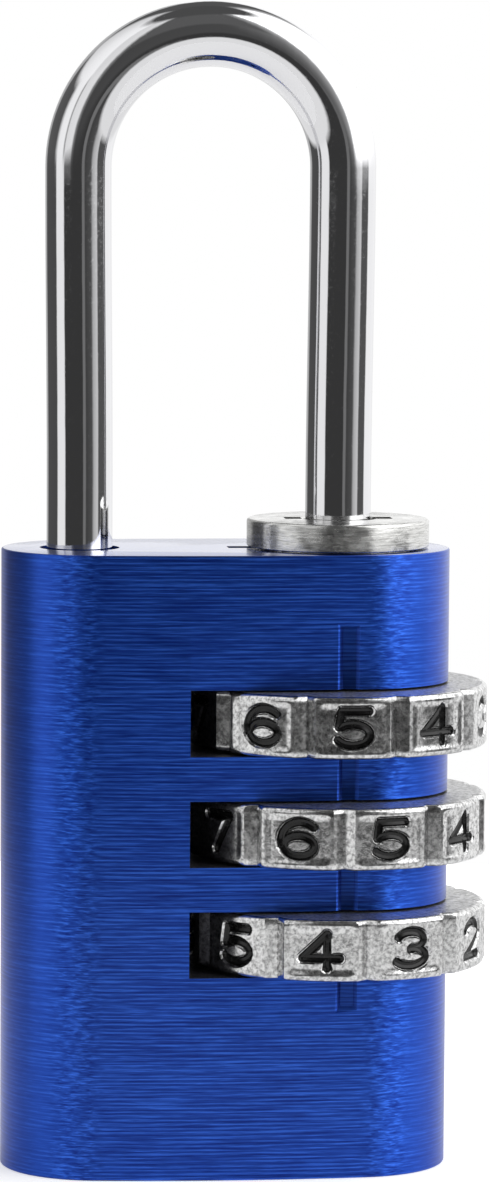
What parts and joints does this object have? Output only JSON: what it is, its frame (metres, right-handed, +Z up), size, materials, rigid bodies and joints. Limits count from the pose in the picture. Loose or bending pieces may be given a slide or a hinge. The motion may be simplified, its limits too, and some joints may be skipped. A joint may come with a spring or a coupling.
{
  "type": "combination padlock",
  "caption": "Combination padlock: blue anodised block with round ends, chromed U shackle in a flanged collar and chromed number dials in through slots.",
  "frame": {"origin": "middle of the block's flat base", "axes": "+Z up along the shackle's legs, +X from the toe leg towards the heel leg and the dials, -Y out of the front with the index groove"},
  "size_m": [0.0326, 0.0202, 0.0778],
  "materials": {
    "blue_anodised_aluminium": "blue anodised over a horizontal brushed grain, satin",
    "chromed_steel": "bright chrome plate on a polished rod",
    "chromed_zinc": "chrome plate on die-cast zinc, slightly pebbled",
    "ground_steel": "turned and ground, fine scratches round the side",
    "spring_steel": "drawn wire, dull",
    "brass": "as machined",
    "ball_steel": "hardened and polished"
  },
  "bodies": {
    "block": {"lock_body": "blue_anodised_aluminium", "collar": "ground_steel", "collar_pin": "spring_steel", "spacer_tube": "brass", "lift_spring": "spring_steel", "reset_spring": "spring_steel", "detent_spring_1": "spring_steel", "detent_spring_2": "spring_steel", "detent_spring_3": "spring_steel"},
    "shackle_body": {"shackle": "chromed_steel", "end_ring": "spring_steel"},
    "dial_1_body": {"dial_1": "chromed_zinc"},
    "dial_2_body": {"dial_2": "chromed_zinc"},
    "dial_3_body": {"dial_3": "chromed_zinc"},
    "sleeve_1_body": {"code_sleeve_1": "brass"},
    "sleeve_2_body": {"code_sleeve_2": "brass"},
    "sleeve_3_body": {"code_sleeve_3": "brass", "reset_washer": "spring_steel"},
    "ball_1_body": {"detent_ball_1": "ball_steel"},
    "ball_2_body": {"detent_ball_2": "ball_steel"},
    "ball_3_body": {"detent_ball_3": "ball_steel"}
  },
  "joints": [
    {"name": "shackle_lift", "type": "slide", "parent": "block", "child": "shackle_body", "axis": [0, 0, 1], "range_m": [0, 0.007], "deforming": ["lift_spring"]},
    {"name": "dial_1_turn", "type": "hinge", "parent": "block", "child": "dial_1_body", "pos_m": [0.0075, 0, 0.03045], "axis": [0, 0, 1], "continuous": true},
    {"name": "dial_2_turn", "type": "hinge", "parent": "block", "child": "dial_2_body", "pos_m": [0.0075, 0, 0.0231], "axis": [0, 0, 1], "continuous": true},
    {"name": "dial_3_turn", "type": "hinge", "parent": "block", "child": "dial_3_body", "pos_m": [0.0075, 0, 0.01575], "axis": [0, 0, 1], "continuous": true},
    {"name": "sleeve_1_reset", "type": "slide", "parent": "dial_1_body", "child": "sleeve_1_body", "axis": [0, 0, -1], "range_m": [0, 0.0013]},
    {"name": "sleeve_2_reset", "type": "slide", "parent": "dial_2_body", "child": "sleeve_2_body", "axis": [0, 0, -1], "range_m": [0, 0.0013]},
    {"name": "sleeve_3_reset", "type": "slide", "parent": "dial_3_body", "child": "sleeve_3_body", "axis": [0, 0, -1], "range_m": [0, 0.0013], "stiffness_N_per_m": 400, "springref_m": -0.002, "deforming": ["reset_spring"]},
    {"name": "ball_1_click", "type": "slide", "parent": "block", "child": "ball_1_body", "axis": [-1, 0, 0], "range_m": [0, 0.00025], "stiffness_N_per_m": 300, "springref_m": -0.001},
    {"name": "ball_2_click", "type": "slide", "parent": "block", "child": "ball_2_body", "axis": [-1, 0, 0], "range_m": [0, 0.00025], "stiffness_N_per_m": 300, "springref_m": -0.001},
    {"name": "ball_3_click", "type": "slide", "parent": "block", "child": "ball_3_body", "axis": [-1, 0, 0], "range_m": [0, 0.00025], "stiffness_N_per_m": 300, "springref_m": -0.001}
  ],
  "couplings": [
    {"joint": "sleeve_1_reset", "follows": "sleeve_3_reset", "ratio": 1},
    {"joint": "sleeve_2_reset", "follows": "sleeve_3_reset", "ratio": 1}
  ]
}
